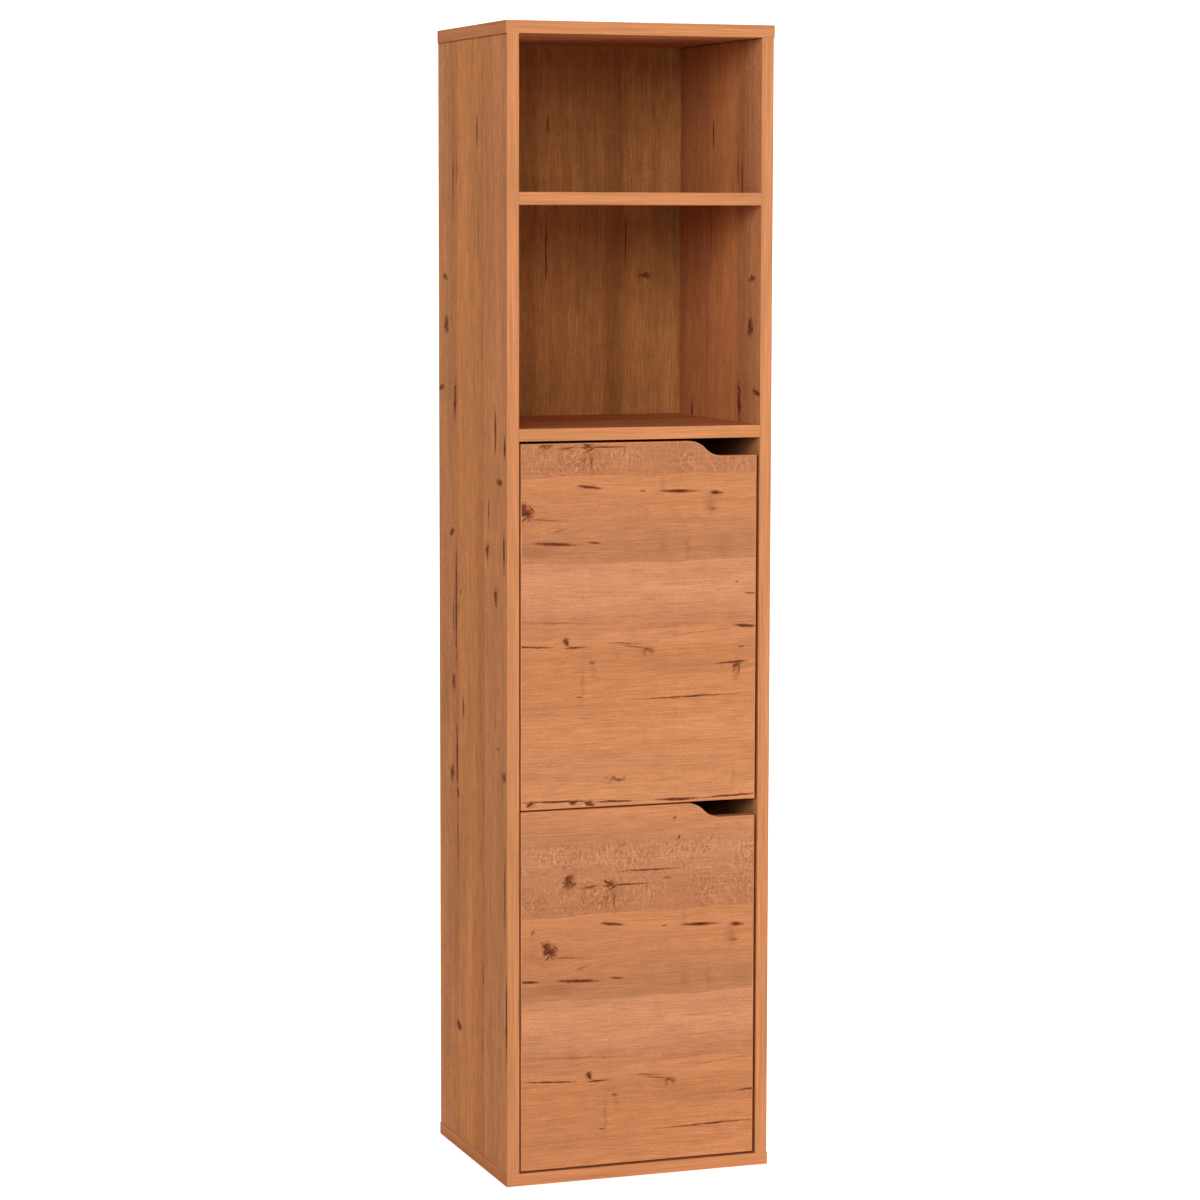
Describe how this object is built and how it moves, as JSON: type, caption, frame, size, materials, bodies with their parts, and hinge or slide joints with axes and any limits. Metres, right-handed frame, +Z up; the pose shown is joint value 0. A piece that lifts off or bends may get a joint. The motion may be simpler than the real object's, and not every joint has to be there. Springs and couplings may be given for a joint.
{
  "type": "bathroom storage tower",
  "caption": "Tall narrow bathroom storage tower in knotty oak decor with open bays above inset doors that swing on concealed hinges and have curved finger pulls.",
  "frame": {"origin": "middle of the underside, where the tower stands on the floor", "axes": "+Z up along the height, doors and open bays face -Y, +X to the right of someone who faces the doors"},
  "size_m": [0.34, 0.28, 1.4],
  "materials": {
    "oak_decor_board": "chipboard with a knotty oak melamine decor, satin",
    "edge_band": "ironed-on straight-grain oak edge band, satin",
    "back_board": "thin fibreboard with an oak print, satin",
    "plated_hinge_steel": "nickel-plated pressed steel",
    "zinc_screw_steel": "zinc-plated steel",
    "die_cast_zinc": "die-cast zinc, tumbled",
    "brown_plastic": "moulded ABS, fine matt",
    "magnet_steel": "ferrite magnet between bare steel poles",
    "beech": "fluted beech, raw"
  },
  "bodies": {
    "case": {"top_panel": "oak_decor_board", "bottom_panel": "oak_decor_board", "left_side": "oak_decor_board", "right_side": "oak_decor_board", "upper_shelf": "oak_decor_board", "lower_shelf": "oak_decor_board", "middle_shelf": "oak_decor_board", "back_panel": "back_board", "top_panel_band": "edge_band", "bottom_panel_band": "edge_band", "left_side_band": "edge_band", "right_side_band": "edge_band", "upper_shelf_band": "edge_band", "lower_shelf_band": "edge_band", "middle_shelf_band": "edge_band", "upper_door_top_arm": "plated_hinge_steel", "upper_door_top_plate": "plated_hinge_steel", "upper_door_bottom_arm": "plated_hinge_steel", "upper_door_bottom_plate": "plated_hinge_steel", "lower_door_top_arm": "plated_hinge_steel", "lower_door_top_plate": "plated_hinge_steel", "lower_door_bottom_arm": "plated_hinge_steel", "lower_door_bottom_plate": "plated_hinge_steel", "upper_door_plate_screws": "zinc_screw_steel", "lower_door_plate_screws": "zinc_screw_steel", "upper_door_arm_screws": "zinc_screw_steel", "lower_door_arm_screws": "zinc_screw_steel", "upper_catch_body": "brown_plastic", "upper_catch_magnet": "magnet_steel", "lower_catch_body": "brown_plastic", "lower_catch_magnet": "magnet_steel", "catch_screws": "zinc_screw_steel", "top_screws": "zinc_screw_steel", "top_screw_plugs": "brown_plastic", "bottom_screws": "zinc_screw_steel", "case_dowels": "beech", "shelf_dowels": "beech", "upper_shelf_cams": "die_cast_zinc", "lower_shelf_cams": "die_cast_zinc", "middle_shelf_cams": "die_cast_zinc", "cam_bolts": "zinc_screw_steel", "back_nails": "zinc_screw_steel"},
    "upper_door": {"upper_door": "oak_decor_board", "upper_door_band": "edge_band", "upper_door_top_cup": "plated_hinge_steel", "upper_door_bottom_cup": "plated_hinge_steel", "upper_door_pins": "zinc_screw_steel", "upper_door_cup_screws": "zinc_screw_steel", "upper_catch_strike": "plated_hinge_steel", "upper_strike_screw": "zinc_screw_steel"},
    "lower_door": {"lower_door": "oak_decor_board", "lower_door_band": "edge_band", "lower_door_top_cup": "plated_hinge_steel", "lower_door_bottom_cup": "plated_hinge_steel", "lower_door_pins": "zinc_screw_steel", "lower_door_cup_screws": "zinc_screw_steel", "lower_catch_strike": "plated_hinge_steel", "lower_strike_screw": "zinc_screw_steel"}
  },
  "joints": [
    {"name": "upper_door_hinge", "type": "hinge", "parent": "case", "child": "upper_door", "pos_m": [-0.13816, -0.1314, 0.68097], "axis": [0, 0, -1], "range_deg": [0, 110]},
    {"name": "lower_door_hinge", "type": "hinge", "parent": "case", "child": "lower_door", "pos_m": [-0.13816, -0.1314, 0.23813], "axis": [0, 0, -1], "range_deg": [0, 110]}
  ]
}
